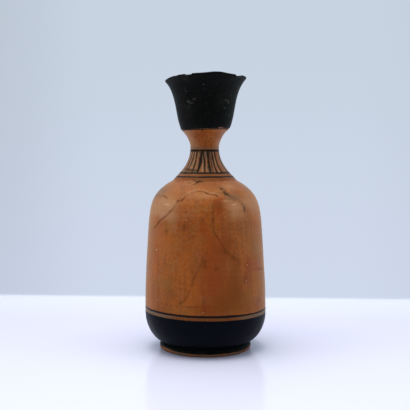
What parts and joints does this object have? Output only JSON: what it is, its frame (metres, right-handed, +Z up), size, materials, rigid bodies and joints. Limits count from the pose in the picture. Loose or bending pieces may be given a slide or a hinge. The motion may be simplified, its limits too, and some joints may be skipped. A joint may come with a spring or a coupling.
{
  "type": "oil flask with calyx mouth",
  "caption": "Slender oil flask: nearly cylindrical body on a disc foot, round shoulder, narrow concave neck, deep flaring mouth and a strap handle behind; pours thin streams of oil.",
  "frame": {"origin": "centre of the foot's resting face", "axes": "+Z up along the wheel axis towards the mouth; the strap handle is at +Y"},
  "size_m": [0.0712, 0.0712, 0.16],
  "materials": {
    "orange_clay": "burnished orange clay",
    "black_gloss": "worn black gloss",
    "luting_slip": "matt fired clay slip"
  },
  "bodies": {
    "root": {"foot": "black_gloss", "foot_slip": "luting_slip", "body": "orange_clay", "neck_slip": "luting_slip", "neck": "orange_clay", "mouth_slip": "luting_slip", "mouth": "black_gloss", "handle": "black_gloss", "handle_top_slip": "luting_slip", "handle_root_slip": "luting_slip"}
  },
  "joints": []
}
